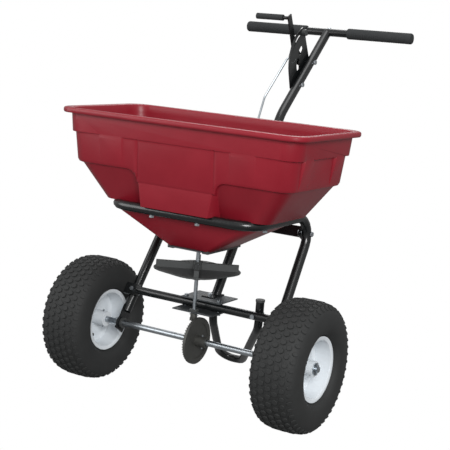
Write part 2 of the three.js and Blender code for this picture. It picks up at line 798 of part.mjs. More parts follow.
// the crown gear faces the shaft: its teeth stand on the rim's inner face, with a gap at the top
const gearFaceX = pinionPitchRadius + toothRoot;
const gearRimInner = gearPitchRadius - toothFace / 2 - gearRimBelow;
const gearRimOuter = gearPitchRadius + toothFace / 2 + gearRimAbove;
const gearHubFace = gearFaceX + gearRimThickness + gearHubLength;
const webX = gearFaceX + (gearRimThickness - gearWeb) / 2;
const axleBore = boreRadius(axleRadius, seatGap, 16);
const gearPinX = gearFaceX + gearRimThickness + gearHubLength / 2;
const gearToothRing = ring(gearTeeth).map((i) => box(
  pinionPitchRadius - toothTip, gearFaceX + 1, -toothThickness / 2, toothThickness / 2,
  gearPitchRadius - toothFace / 2, gearPitchRadius + toothFace / 2,
).rotateX(2 * Math.PI * (i + 0.5) / gearTeeth));
const pinHole = (radius, x) => cylinder(boreRadius(radius, boltClearance, 8), 4 * hubRadius, 8, 'z')
  .translate(x, 0, 0);

addPart('drive_gear', cut(
  join(turned([
    [axleBore, gearFaceX], [gearHubRadius, gearFaceX], [gearHubRadius, webX],
    [gearRimInner, webX], [gearRimInner, gearFaceX], [gearRimOuter, gearFaceX],
    [gearRimOuter, gearFaceX + gearRimThickness], [gearRimInner, gearFaceX + gearRimThickness],
    [gearRimInner, webX + gearWeb], [gearHubRadius, webX + gearWeb], [gearHubRadius, gearHubFace],
    [axleBore, gearHubFace],
  ], 40), ...gearToothRing),
  pinHole(pinRadius, gearPinX),
), castMetal(), { position: [0, 0, axleZ] });

addPart('gear_pin', cylinder(pinRadius, 2 * (gearHubRadius + pinOverhang), 8, 'z'), zinc(), {
  position: [gearPinX, 0, axleZ],
});

// impeller: a four-cornered disc with a channel blade along each diagonal
const impellerOutline = ring(32).map((i) => {
  const angle = 2 * Math.PI * i / 32;
  const radius = impellerRadius * (impellerFlat + (1 - impellerFlat) * Math.cos(2 * angle) ** 2);
  return [radius * Math.cos(angle + bladeAngle), radius * Math.sin(angle + bladeAngle)];
});
const bladeTop = impellerZ + impellerThickness + bladeHeight;
const blades = ring(4).map((i) => box(
  shaftRadius, impellerRadius - bladeThickness / 2, -bladeThickness / 2, bladeThickness / 2,
  impellerZ + 1, bladeTop,
).rotateZ(bladeAngle + i * Math.PI / 2));
const earOutline = polygon([
  [-earWidth / 2, -1], [earWidth / 2, -1], [earWidth / 3, earHeight], [earWidth / 4, earHeight]]);
const bladeEar = new THREE.ExtrudeGeometry(earOutline, { depth: earThickness, bevelEnabled: false })
  .rotateX(Math.PI / 2)
  .translate(impellerRadius - earWidth, earThickness / 2, bladeTop)
  .rotateZ(bladeAngle + Math.PI / 2);

addPart('impeller', cut(
  join(
    plateXY(polygon(impellerOutline), impellerZ, impellerThickness),
    cylinder(impellerHubRadius, impellerHubHeight, 16, 'z')
      .translate(0, 0, impellerZ - impellerHubDrop + impellerHubHeight / 2),
    ...blades,
    bladeEar,
  ),
  cylinder(shaftSeatBore, 4 * impellerHubHeight, 12, 'z').translate(0, 0, impellerZ),
), darkPlastic());

const shaftBush = (flangeZ, spigot) => turned([
  [shaftRunBore, flangeZ - spigot], [shaftSpigot, flangeZ - spigot], [shaftSpigot, flangeZ],
  [shaftSpigot + shaftFlange, flangeZ], [shaftSpigot + shaftFlange, flangeZ + bushFlangeThickness],
  [shaftRunBore, flangeZ + bushFlangeThickness],
], 12, 'z');

addPart('shaft_bush_upper', shaftBush(outletZ + wall + seatGap, wall), darkPlastic());
addPart('shaft_bush_lower', shaftBush(crossBottom + seatGap, plateThickness), darkPlastic());

// ---------------------------------------------------------------- axle and wheels

const cotterX = hubOuterX + washerThickness + 3 * seatGap + cotterRadius;
const drivePinX = -(hubInnerX + drivePinInset);
const collarX = hubInnerX - seatGap - axleCollarWidth / 2;

// the collar keeps the free wheel out; the pin through the other hub makes that wheel drive
addPart('axle', cut(
  join(
    cylinder(axleRadius, 2 * (hubOuterX + axleOverhang), 16, 'x'),
    cylinder(axleCollarRadius, axleCollarWidth, 16, 'x').translate(collarX, 0, 0),
  ),
  pinHole(cotterRadius, cotterX),
  pinHole(pinRadius, gearPinX),
  pinHole(pinRadius, drivePinX),
), zinc(), { position: [0, 0, axleZ] });

const sleeve = (bore, outside, from, to, corners) => turned([
  [bore, from], [outside, from], [outside, to], [bore, to]], corners);
const axleRunBore = boreRadius(axleRadius, runClearance, 16);
const bushInside = paddleThickness / 2 + seatGap;
const bushOutside = bushInside + bushFlangeThickness;

sides.forEach(([name, side]) => {
  addPart(`axle_bush_${name}`, join(
    sleeve(axleRunBore, axleFlangeRadius, -bushOutside, -bushInside, 16),
    sleeve(axleRunBore, axleSpigot, -bushInside - 1, bushInside + 1, 16),
    sleeve(axleRunBore, axleFlangeRadius, bushInside, bushOutside, 16),
  ), darkPlastic(), { position: [side * legSpread, 0, axleZ] });
});

const tyreSides = 40;
const tyreHalf = tyreWidth / 2;
const rimHalf = rimWidth / 2;
const beadX = rimHalf - rimLipThickness - seatGap;
const lipRadius = beadRadius + rimLipHeight;
const beadBore = beadRadius / Math.cos(Math.PI / tyreSides);
const tyreOutside = [
  [beadBore, beadX], [lipRadius + 1, beadX], [lipRadius + 8, tyreHalf - 8], [tyreRadius - 55, tyreHalf],
  [tyreRadius - 30, tyreHalf], [tyreRadius - 13, tyreHalf - 7], [tyreRadius - 4, tyreHalf - 20],
  [tyreRadius, tyreHalf - 44],
];
const tyreInside = [
  [tyreRadius - tyreWall, tyreHalf - 46], [tyreRadius - 5 - tyreWall, tyreHalf - 24],
  [tyreRadius - 15 - tyreWall, tyreHalf - 14], [tyreRadius - 33, tyreHalf - tyreWall],
  [tyreRadius - 55, tyreHalf - tyreWall], [lipRadius + 9, beadX - tyreWall], [beadBore, beadX - tyreWall],
];
const mirrored = (profile) => profile.map(([radius, x]) => [radius, -x]);
const tyreProfile = [
  ...mirrored(tyreOutside), ...tyreOutside.toReversed(), ...tyreInside.toReversed(), ...mirrored(tyreInside),
];

const rimSeat = beadRadius - seatGap;
const rimBore = rimSeat - rimWall;
const hubHole = boreRadius(hubRadius, seatGap, 20);
const discHalf = discThickness / 2;
const rimProfile = [
  [rimBore, -rimHalf], [lipRadius, -rimHalf], [lipRadius, rimLipThickness - rimHalf],
  [rimSeat, rimLipThickness - rimHalf], [rimSeat, rimHalf - rimLipThickness],
  [lipRadius, rimHalf - rimLipThickness], [lipRadius, rimHalf], [rimBore, rimHalf],
  [rimBore - rimTaper, discHalf], [hubHole, discHalf], [hubHole, -discHalf], [rimBore - rimTaper, -discHalf],
];
const valveHole = cylinder(boreRadius(valveRadius, seatGap, 8), 6 * discThickness, 8, 'x')
  .translate(0, ...valvePlace);

sides.forEach(([name, side]) => {
  const centre = [side * wheelOffset, 0, axleZ];
  // the tyres keep a tread edge on the ground when the machine is tipped back
  addPart(`tyre_${name}`, turned(tyreProfile, tyreSides), rubber(), {
    position: centre, rotation: [parkAngle, 0, 0],
  });
  addPart(`rim_${name}`, cut(turned(rimProfile, 32), valveHole), whitePaint(), { position: centre });
  addPart(`valve_${name}`, cylinder(valveRadius, valveLength, 8, 'x')
    .translate(valveLength / 2 - 2 * discThickness, ...valvePlace), rubber(), { position: centre });
});

const hub = (bore) => sleeve(bore, hubRadius, -hubLength / 2, hubLength / 2, 20);
addPart('hub_left', cut(hub(axleBore), pinHole(pinRadius, drivePinX + wheelOffset)), whitePaint(), {
  position: [-wheelOffset, 0, axleZ],
});
addPart('hub_right', hub(axleRunBore), whitePaint(), { position: [wheelOffset, 0, axleZ] });

addPart('drive_pin', cylinder(pinRadius, 2 * (hubRadius + pinOverhang), 8, 'z'), zinc(), {
  position: [drivePinX, 0, axleZ],
});

addPart('axle_washer', sleeve(axleBore, washerRadius, 0, washerThickness, 16), zinc(), {
  position: [hubOuterX + seatGap, 0, axleZ],
});

addPart('cotter_pin', cylinder(cotterRadius, cotterLength, 8, 'z'), zinc(), {
  position: [cotterX, 0, axleZ],
});

// ---------------------------------------------------------------- handle

const splice = handleFoot.clone().addScaledVector(lowerDirection, spliceAlong);
const alongLower = (distance) => splice.clone().addScaledVector(lowerDirection, distance);
const spliceBolt = alongLower(spliceLength / 2);
const pivot = handleElbow.clone().addScaledVector(upperDirection, pivotAlong);
const quadrantBolt = handleElbow.clone().addScaledVector(upperDirection, pivotAlong - quadrantBoltPitch);
const sideHole = ({ y, z }) => boltHole(6 * tubeRadius, 'x').translate(0, y, z);
const fitInside = (radius) => (radius - tubeWall) * Math.cos(Math.PI / 12) - seatGap;

// the lower tube is cut off flat on its pad, and its neck enters the upper tube
addPart('handle_lower_tube', cut(
  join(
    straightTube(alongLower(-spliceAlong - 2 * tubeRadius), splice, tubeRadius, tubeWall),
    straightTube(alongLower(-2 * tubeRadius), splice, tubeRadius - tubeWall / 2),
    straightTube(alongLower(-tubeRadius), alongLower(spliceLength), fitInside(tubeRadius)),
    box(-footPadHalfWidth, footPadHalfWidth, handleFootY + footPadFront, handleFootY + footPadBack,
      handleFoot.z, handleFoot.z + plateThickness),
  ),
  box(-4 * tubeRadius, 4 * tubeRadius, handleFootY - 4 * tubeRadius, handleFootY + 4 * tubeRadius,
    handleFoot.z - 4 * tubeRadius, handleFoot.z),
  footBoltHole,
  braceHandleHole,
  sideHole(spliceBolt),
), blackPaint());

const barHole = boltHole(8 * barRadius, 'x').applyMatrix4(pointing(upperDirection))
  .translate(...handleEnd.toArray());
const alongUpper = (distance) => handleEnd.clone().addScaledVector(upperDirection, distance);

// the cross bar sits in the tube's notched end, and is bolted down to a plug inside the tube
addPart('handle_upper_tube', cut(
  join(
    bent(new BentPath([alongLower(seatGap), handleElbow, alongUpper(-barSeat)], handleBendRadius),
      tubeRadius, tubeWall),
    straightTube(alongUpper(-barNutDepth), alongUpper(plateThickness - barNutDepth), tubeRadius - tubeWall / 2),
  ),
  cylinder(boreRadius(barRadius, seatGap, 16), 8 * tubeRadius, 16, 'x').translate(...handleEnd.toArray()),
  barHole,
  sideHole(spliceBolt),
  sideHole(pivot),
  sideHole(quadrantBolt),
), blackPaint());

addPart('splice_bolt', bolt(2 * tubeRadius), zinc(), {
  position: [-tubeRadius, spliceBolt.y, spliceBolt.z],
});

addPart('handle_foot_bolt', bolt(3 * plateThickness + 2 * seatGap), zinc(), {
  position: footBolt.toArray(), direction: point(0, 0, -1),
});

addPart('handle_bar', cut(
  sleeve(barRadius - tubeWall, barRadius, -barHalfLength, barHalfLength, 16)
    .translate(...handleEnd.toArray()),
  barHole,
), blackPaint());

addPart('handle_bar_bolt', bolt(barRadius + barNutDepth), zinc(), {
  position: alongUpper(barRadius).toArray(), direction: upperDirection.clone().negate(),
});

const gripStart = barHalfLength + seatGap - gripLength;
sides.forEach(([name, side]) => {
  addPart(`grip_${name}`, cut(
    cylinder(gripRadius, gripLength + gripEnd, 16, 'x')
      .translate(side * (gripStart + (gripLength + gripEnd) / 2), 0, 0),
    cylinder(boreRadius(barRadius, seatGap, 16), 2 * gripLength, 16, 'x').translate(side * gripStart, 0, 0),
  ), foam(), { position: handleEnd.toArray() });
});

// ---------------------------------------------------------------- quadrant, rate stop, lever

const onArc = (radius, angle) => [radius * Math.cos(angle), radius * Math.sin(angle)];

const arcSlot = (radius, width, [start, end]) => {
  const slot = new THREE.Shape();
  const half = width / 2;
  slot.absarc(0, 0, radius + half, start, end, false);
  slot.absarc(...onArc(radius, end), half, end, end + Math.PI, false);
  slot.absarc(0, 0, radius - half, end, start, true);
  slot.absarc(...onArc(radius, start), half, start + Math.PI, start + 2 * Math.PI, false);
  return plateYZ(slot, -6 * tubeRadius, 12 * tubeRadius);
};

const quadrantShape = new THREE.Shape();
quadrantShape.moveTo(...quadrantHead[0]);
quadrantHead.slice(1).forEach((corner) => quadrantShape.lineTo(...corner));
quadrantShape.absarc(0, 0, quadrantRadius, ...quadrantArc, false);
quadrantTail.forEach((corner) => quadrantShape.lineTo(...corner));
quadrantShape.closePath();

const quadrantX = -(tubeRadius + seatGap + quadrantThickness);
const atPivot = [0, pivot.y, pivot.z];
const holeAt = (y, z, radius = boltRadius) => cylinder(
  boreRadius(radius, boltClearance, 8), 8 * tubeRadius, 8, 'x').translate(0, y, z);

addPart('quadrant_plate', cut(
  plateYZ(quadrantShape, quadrantX, quadrantThickness),
  arcSlot(slotRadius, slotWidth, slotArc),
  ...windowArcs.map((arc) => arcSlot(windowArcRadius, windowArcWidth, arc)),
  holeAt(0, 0),
  holeAt(quadrantBolt.y - pivot.y, quadrantBolt.z - pivot.z),
), blackPaint(), { position: atPivot });

addPart('quadrant_bolt', bolt(tubeRadius - quadrantX), zinc(), {
  position: [quadrantX, quadrantBolt.y, quadrantBolt.z],
});

// the stop rests at the top of its slot, its knob on the far side of the plate from the lever
const [stopY, stopZ] = onArc(slotRadius, slotArc[0] + stopClearance / slotRadius);
addPart('rate_stop', join(
  cylinder(slotWidth / 2 - stopClearance, quadrantThickness + stopNutHeight, 12, 'x')
    .translate(quadrantX + quadrantThickness / 2, 0, 0),
  cylinder(stopKnobRadius, stopKnobHeight, 12, 'x')
    .translate(quadrantX + quadrantThickness + seatGap + stopKnobHeight / 2, 0, 0),
  cylinder(boltHeadRadius, stopNutHeight, 6, 'x').translate(quadrantX - seatGap - stopNutHeight / 2, 0, 0),
), darkPlastic(), { position: [0, pivot.y + stopY, pivot.z + stopZ] });

const leverX = quadrantX - leverStandoff - leverThickness;
const pegZ = leverGripPlace[1];
addPart('shutoff_lever', cut(
  join(
    plateYZ(polygon(leverOutline), leverX, leverThickness),
    cylinder(leverBossRadius, leverStandoff + 1 - seatGap, 12, 'x')
      .translate(quadrantX - seatGap - (leverStandoff + 1 - seatGap) / 2, 0, 0),
    cylinder(leverPegRadius, leverPegLength, 12, 'x')
      .translate(leverX + 1 - leverPegLength / 2, leverGripPlace[0], pegZ),
  ),
  holeAt(0, 0),
  holeAt(...rodPlace, rodRadius),
), blackPaint(), { position: atPivot });

addPart('lever_pivot_bolt', bolt(tubeRadius - leverX + seatGap), zinc(), {
  position: [leverX - seatGap, pivot.y, pivot.z],
});

addPart('lever_grip', cut(
  cylinder(leverGripRadius, leverGripLength, 12, 'x').translate(-leverGripLength / 2, 0, 0),
  cylinder(boreRadius(leverPegRadius, seatGap, 12), 2 * leverPegLength, 12, 'x')
    .translate(leverGripSetback, 0, 0),
), foam(), { position: [leverX - leverGripSetback, pivot.y + leverGripPlace[0], pivot.z + pegZ] });

// ---------------------------------------------------------------- control rod

const rodTop = point(tongueX, pivot.y + rodPlace[0], pivot.z + rodPlace[1]);
const rodKnee = point(tongueX, rodTop.y - rodKneeRun, rodTop.z - rodKneeDrop);
const rodFoot = point(tongueX, rodFootY, gateBottom + gateThickness / 2);
const footDirection = rodFoot.clone().sub(rodKnee).normalize();

addPart('control_rod', bent(new BentPath([
  point(leverX + leverThickness + rodHookEnd, rodTop.y, rodTop.z), rodTop, rodKnee,
  rodFoot.clone().addScaledVector(footDirection, rodFootTail),
], [rodHookRadius, rodBendRadius]), rodRadius, 0, 8), zinc());

// ---------------------------------------------------------------- stand

// the foot's height puts the tube on the ground once the machine is tipped back
const [standFootX, standFootY] = standFoot;
const standFootZ = axleZ + (standFootY * Math.sin(parkAngle) - axleZ + standRadius) / Math.cos(parkAngle);
const standTop = crossTop - seatGap;
const standPostTop = crossTubeZ + standPostAbove;

addPart('stand_tube', cut(
  join(
    bent(new BentPath([
      point(0, standArmY, standTop - 1), point(0, standArmY, standArmBendZ),
      point(standFootX - standFootRun / 2, standFootY, standFootZ),
      point(standFootX + standFootRun / 2, standFootY, standFootZ),
      point(standPostX, standPostY, standPostBendZ), point(standPostX, standPostY, standPostTop),
    ], [standArmRadius, standFootRadius, standFootRadius, standArmRadius]), standRadius, tubeWall),
    box(-footPadHalfWidth, footPadHalfWidth, handleFootY + footPadFront, standArmY + standRadius,
      standTop - plateThickness, standTop),
  ),
  standBoltHole,
  footBoltHole,
), blackPaint());

addPart('stand_cap', join(
  cylinder(standRadius + 1, capHeight, 12, 'z').translate(0, 0, capHeight / 2 + seatGap),
  cylinder(fitInside(standRadius), 2 * capHeight, 12, 'z'),
), darkPlastic(), { position: [standPostX, standPostY, standPostTop] });

addPart('stand_bolt', bolt(2 * (crossTubeRadius + standRadius) + seatGap), zinc(), {
  position: [standPostX, crossY - crossTubeRadius, crossTubeZ], direction: point(0, 1, 0),
});

// ---------------------------------------------------------------- the machine as it stands

const level = new THREE.Group();
level.add(spreader);
spreader.position.z = -axleZ;
level.rotation.x = -parkAngle;

const machine = new THREE.Group();
machine.add(level);
const bounds = new THREE.Box3().setFromObject(machine, true);
const middle = bounds.getCenter(new THREE.Vector3());
machine.position.set(-middle.x, -middle.y, -bounds.min.z);

export default machine;
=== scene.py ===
# Walk-behind broadcast spreader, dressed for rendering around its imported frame.
import json
import math

import bpy
from mathutils import Matrix, Vector


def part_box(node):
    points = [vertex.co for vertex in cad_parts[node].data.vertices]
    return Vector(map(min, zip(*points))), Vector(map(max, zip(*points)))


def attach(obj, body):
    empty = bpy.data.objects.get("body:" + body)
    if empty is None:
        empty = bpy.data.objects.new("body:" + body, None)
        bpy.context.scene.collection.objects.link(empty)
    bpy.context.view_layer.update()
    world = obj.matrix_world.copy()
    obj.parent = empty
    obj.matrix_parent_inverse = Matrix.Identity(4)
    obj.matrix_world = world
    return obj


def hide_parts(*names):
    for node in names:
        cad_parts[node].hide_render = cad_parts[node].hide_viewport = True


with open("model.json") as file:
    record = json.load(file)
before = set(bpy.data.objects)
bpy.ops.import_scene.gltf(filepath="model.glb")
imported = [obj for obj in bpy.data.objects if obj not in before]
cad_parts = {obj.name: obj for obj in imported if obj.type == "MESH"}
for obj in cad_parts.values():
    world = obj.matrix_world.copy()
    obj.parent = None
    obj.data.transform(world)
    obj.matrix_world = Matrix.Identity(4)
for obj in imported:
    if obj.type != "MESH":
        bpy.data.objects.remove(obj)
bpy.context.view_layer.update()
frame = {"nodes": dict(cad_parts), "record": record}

# The machine stands tipped back about its axle. Pieces are modelled with the hopper rim level
# and the axle at (0, 0, axleHeight), then tipped into the frame.
tip = math.radians(9)
axleLow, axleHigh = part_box("axle")
axleY = (axleLow[1] + axleHigh[1]) / 2
axleHeight = (axleLow[2] + axleHigh[2]) / 2
toFrame = (
    Matrix.Translation((0, axleY, axleHeight))
    @ Matrix.Rotation(-tip, 4, "X")
    @ Matrix.Translation((0, 0, -axleHeight))
)
mm = 0.001

# ---- camera and light
camera = dict(place=(1546.2, -2496.4, 981.3), yaw=30.56, pitch=9.86, roll=4.42, lens=93.85)


def addCamera():
    yaw, pitch, roll = (math.radians(camera[key]) for key in ("yaw", "pitch", "roll"))
    level = math.cos(pitch)
    back = Vector((math.sin(yaw) * level, -math.cos(yaw) * level, math.sin(pitch)))
    right = Vector((math.cos(yaw), math.sin(yaw), 0))
    up = back.cross(right)
    tilted = math.cos(roll) * right + math.sin(roll) * up
    lifted = -math.sin(roll) * right + math.cos(roll) * up
    stand = Matrix((tilted, lifted, back)).transposed().to_4x4()
    stand.translation = Vector(camera["place"]) * mm
    bpy.ops.object.camera_add()
    cameraObject = bpy.context.object
    cameraObject.matrix_world = toFrame @ stand
    cameraObject.data.lens = camera["lens"]
    cameraObject.data.sensor_width = 36
    cameraObject.data.clip_end = 50
    bpy.context.scene.camera = cameraObject


light = dict(key=112, fill=40, top=34, rim=16, below=0.26, above=0.66, aim=(0, 0, 0.45))


def addLight(name, place, size, power):
    bpy.ops.object.light_add(type="AREA", location=place)
    lamp = bpy.context.object
    lamp.name = name
    lamp.data.shape = "DISK"
    lamp.data.size = size
    lamp.data.energy = power
    aim = Vector(light["aim"]) - lamp.location
    lamp.rotation_euler = aim.to_track_quat("-Z", "Y").to_euler()


def linear(hexColour):
    channels = [int(hexColour[i:i + 2], 16) / 255 for i in (1, 3, 5)]
    return tuple(c / 12.92 if c <= 0.04045 else ((c + 0.055) / 1.055) ** 2.4 for c in channels) + (1,)


def addNode(tree, kind, settings=None, links=None):
    # one node, its settings (a property name or a socket name) and what feeds its sockets
    node = tree.nodes.new(kind)
    for key, value in (settings or {}).items():
        if isinstance(key, str) and hasattr(node, key):
            setattr(node, key, value)
        else:
            node.inputs[key].default_value = value
    for key, output in (links or {}).items():
        tree.links.new(output, node.inputs[key])
    return node


def addStudio():
    world = bpy.data.worlds.new("studioAir")
    world.use_nodes = True
    tree = world.node_tree
    # the lens sees white paper; the machine is lit more softly, and least from below
    path = addNode(tree, "ShaderNodeLightPath")
    facing = addNode(tree, "ShaderNodeTexCoord")
    part = addNode(tree, "ShaderNodeSeparateXYZ", None, {"Vector": facing.outputs["Generated"]})
    glow = addNode(tree, "ShaderNodeMapRange",
                   {"From Min": -0.4, "From Max": 0.5,
                    "To Min": light["below"], "To Max": light["above"]},
                   {"Value": part.outputs["Z"]})
    strength = addNode(tree, "ShaderNodeMix", {3: 1.0},
                       {0: path.outputs["Is Camera Ray"], 2: glow.outputs["Result"]})
    background = tree.nodes["Background"]
    background.inputs["Color"].default_value = (1, 1, 1, 1)
    tree.links.new(strength.outputs[0], background.inputs["Strength"])
    bpy.context.scene.world = world
    addLight("keyLight", (2.3, -2.5, 2.1), 1.6, light["key"])
    addLight("fillLight", (-2.4, -2.0, 1.6), 2.2, light["fill"])
    addLight("topLight", (0.2, 0.2, 3.2), 2.2, light["top"])
    addLight("rimLight", (-1.2, 2.6, 2.0), 1.4, light["rim"])


addCamera()
addStudio()
bpy.context.scene.view_settings.view_transform = "Standard"
print("camera and studio ready")

# ---- materials: each is a shader with fine grain in its colour, its gloss and its surface
# hex colours are sRGB; grain sizes are millimetres


def surface(name, dark, pale, grain, roughness, spread, bump, bumpGrain,
            metallic=0, coat=0, specular=0.5):
    material = bpy.data.materials.new(name)
    material.use_nodes = True
    tree = material.node_tree
    shader = tree.nodes["Principled BSDF"]
    shader.inputs["Metallic"].default_value = metallic
    shader.inputs["Coat Weight"].default_value = coat
    shader.inputs["Coat Roughness"].default_value = 0.25
    shader.inputs["Specular IOR Level"].default_value = specular
    place = addNode(tree, "ShaderNodeTexCoord")
    cloud = addNode(tree, "ShaderNodeTexNoise", {"Scale": 1000 / grain, "Detail": 6, "Roughness": 0.6},
                    {"Vector": place.outputs["Object"]})
    tint = addNode(tree, "ShaderNodeMix", {"data_type": "RGBA", 6: linear(dark), 7: linear(pale)},
                   {0: cloud.outputs["Fac"]})
    gloss = addNode(tree, "ShaderNodeMapRange",
                    {"To Min": roughness - spread, "To Max": roughness + spread},
                    {"Value": cloud.outputs["Fac"]})
    pores = addNode(tree, "ShaderNodeTexNoise", {"Scale": 1000 / bumpGrain, "Detail": 3},
                    {"Vector": place.outputs["Object"]})
    relief = addNode(tree, "ShaderNodeBump", {"Strength": bump, "Distance": 0.4 * mm},
                     {"Height": pores.outputs["Fac"]})
    tree.links.new(tint.outputs[2], shader.inputs["Base Color"])
    tree.links.new(gloss.outputs["Result"], shader.inputs["Roughness"])
    tree.links.new(relief.outputs["Normal"], shader.inputs["Normal"])
    return material


finishes = dict(
    # rotomoulded polyethylene: waxy, with a faint orange peel and cloudy pigment
    red_moulding=surface("rotomouldedPolyethylene", "#74101d", "#861b28",
                         90, 0.38, 0.07, 0.12, 3, coat=0.05, specular=0.3),
    # baked powder coat on steel tube: fine pebbling under a satin gloss
    black_paint=surface("powderCoatedSteel", "#0d0f10", "#151718",
                        30, 0.24, 0.05, 0.06, 1.6, coat=0.15, specular=0.45),
    # closed-cell foam sleeve: dull, with open pores
    grip_foam=surface("closedCellFoam", "#222425", "#303233", 8, 0.82, 0.06, 0.6, 1.8, specular=0.3),
    # cured tyre rubber: grey bloom in the hollows
    tyre_rubber=surface("curedTyreRubber", "#1e1f1f", "#2a2b2b", 26, 0.72, 0.08, 0.3, 2.2, specular=0.35),
    valve_rubber=surface("mouldedValveRubber", "#1b1c1c", "#262727", 6, 0.7, 0.05, 0.3, 1.2, specular=0.35),
    # sprayed enamel over pressed steel
    wheel_paint=surface("sprayedEnamel", "#c9cfd4", "#d9dee2", 60, 0.33, 0.06, 0.1, 2.5, coat=0.15),
    # cast gear metal: dull grey with a sandy skin
    gear_metal=surface("sandCastIron", "#474745", "#60605d", 9, 0.55, 0.1, 0.55, 1.4, metallic=0.75),
    # hot-rolled sheet: blue-grey mill scale
    sheet_steel=surface("hotRolledSheet", "#3a3d3f", "#54585b", 22, 0.45, 0.1, 0.25, 2, metallic=0.7),
    dark_plastic=surface("mouldedPolypropylene", "#2c2e2e", "#3b3d3d", 35, 0.5, 0.06, 0.25, 1.6),
    # bright zinc plate: cool metal with passivation clouds
    zinc_plate=surface("brightZincPlate", "#9aa1a6", "#c3c9ce", 14, 0.3, 0.08, 0.12, 2, metallic=1),
)
slotOf = {part["node"]: part["material_slot"] for part in frame["record"]["subparts"]}
print("materials ready")

# CAD solids: millimetres within which corners are joined, and degrees from which an edge stays crisp
seams = dict(weld=0.02, crease=38)


def dressNode(name):
    node = frame["nodes"][name]
    node.data.materials.clear()
    node.data.materials.append(finishes[slotOf[name]])
    node.data.polygons.foreach_set("use_smooth", [True] * len(node.data.polygons))
    weld = node.modifiers.new("weldSeams", "WELD")
    weld.merge_threshold = seams["weld"] * mm
    split = node.modifiers.new("crispEdges", "EDGE_SPLIT")
    split.split_angle = math.radians(seams["crease"])


for nodeName in slotOf:
    dressNode(nodeName)
print("frame nodes dressed")

# ---- modelling helpers


def clearSelection():
    if bpy.context.object and bpy.context.object.mode != "OBJECT":
        bpy.ops.object.mode_set(mode="OBJECT")
    bpy.ops.object.select_all(action="DESELECT")


def pick(choose, kind="vertices"):
    # selects what the test accepts, by its place, on the mesh being edited
    bpy.ops.mesh.select_mode(type={"vertices": "VERT", "edges": "EDGE", "polygons": "FACE"}[kind])
    bpy.ops.mesh.select_all(action="DESELECT")
    bpy.ops.object.mode_set(mode="OBJECT")
    mesh = bpy.context.object.data
    count = 0
    for item in getattr(mesh, kind):
        item.select = choose(item.co if kind == "vertices" else item.center)
        count += item.select
    bpy.ops.object.mode_set(mode="EDIT")
    return count


def applyModifier(kind, **settings):
    piece = bpy.context.object
    modifier = piece.modifiers.new(kind.lower(), kind)
    for key, value in settings.items():
        setattr(modifier, key, value)
    bpy.ops.object.modifier_apply(modifier=modifier.name)


def finishPiece(name, slotName, body, nodes, smooth=35):
    piece = bpy.context.object
    piece.name = name
    piece.data.name = name
    bpy.ops.object.transform_apply(location=True, rotation=True, scale=True)
    bpy.ops.object.shade_smooth_by_angle(angle=math.radians(smooth))
    piece.data.materials.clear()
    piece.data.materials.append(finishes[slotName])
    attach(piece, body)
    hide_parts(*nodes)


def turnedShape(profile, sides, closed=False):
    # a ring about X, drawn out along a profile of [radius, x] in millimetres
    clearSelection()
    radius, along = profile[0]
    bpy.ops.mesh.primitive_circle_add(
        vertices=sides, radius=radius * mm, location=(0, 0, 0), rotation=(0, math.pi / 2, 0))
    bpy.ops.object.transform_apply(location=True, rotation=True, scale=True)
    bpy.ops.object.mode_set(mode="EDIT")
    bpy.ops.mesh.select_all(action="SELECT")
    bpy.ops.transform.translate(value=(along * mm, 0, 0))
    steps = profile[1:] + ([profile[0]] if closed else [])
    for nextRadius, nextAlong in steps:
        bpy.ops.mesh.extrude_edges_move(TRANSFORM_OT_translate={"value": ((nextAlong - along) * mm, 0, 0)})
        ratio = nextRadius / radius
        bpy.ops.transform.resize(value=(1, ratio, ratio), center_override=(nextAlong * mm, 0, 0))
        radius, along = nextRadius, nextAlong
    bpy.ops.mesh.select_all(action="SELECT")
    bpy.ops.mesh.remove_doubles(threshold=seams["weld"] * mm)
    bpy.ops.mesh.normals_make_consistent(inside=False)
    bpy.ops.object.mode_set(mode="OBJECT")
    return bpy.context.object


def placed(x, y=0, z=None):
    # from a piece's own axes to the frame
    return toFrame @ Matrix.Translation((x * mm, y * mm, (axleHeight if z is None else z * mm)))


# ---- hopper: a thin shell drawn down from its rim, with corner pockets and panels
hopper = dict(
    wall=4, rimTop=737, rimFoot=724, step=680, bandFoot=603, shelf=515.8, skirt=489.8, outlet=413.8,
    middle=11, rib=(158, 224), sideRib=(-90, -50), ribSlope=3, frontPanel=2.5, sidePanel=7.5,
    bulgeTop=110, bulgeFoot=98, fillet=32, shelfFront=36, shelfRear=28, corner=45, edge=1.6)


def drawSection(current, target):
    # extrudes the selected loop to the next section: (half x, front, back, z)
    bpy.ops.mesh.extrude_edges_move(TRANSFORM_OT_translate={"value": (0, 0, (target[3] - current[3]) * mm)})
    across = target[0] / current[0]
    deep = (target[2] - target[1]) / (current[2] - current[1])
    middle = (current[1] + current[2]) / 2
    bpy.ops.transform.resize(value=(across, deep, 1), center_override=(0, middle * mm, target[3] * mm))
    bpy.ops.transform.translate(value=(0, ((target[1] + target[2]) / 2 - middle) * mm, 0))


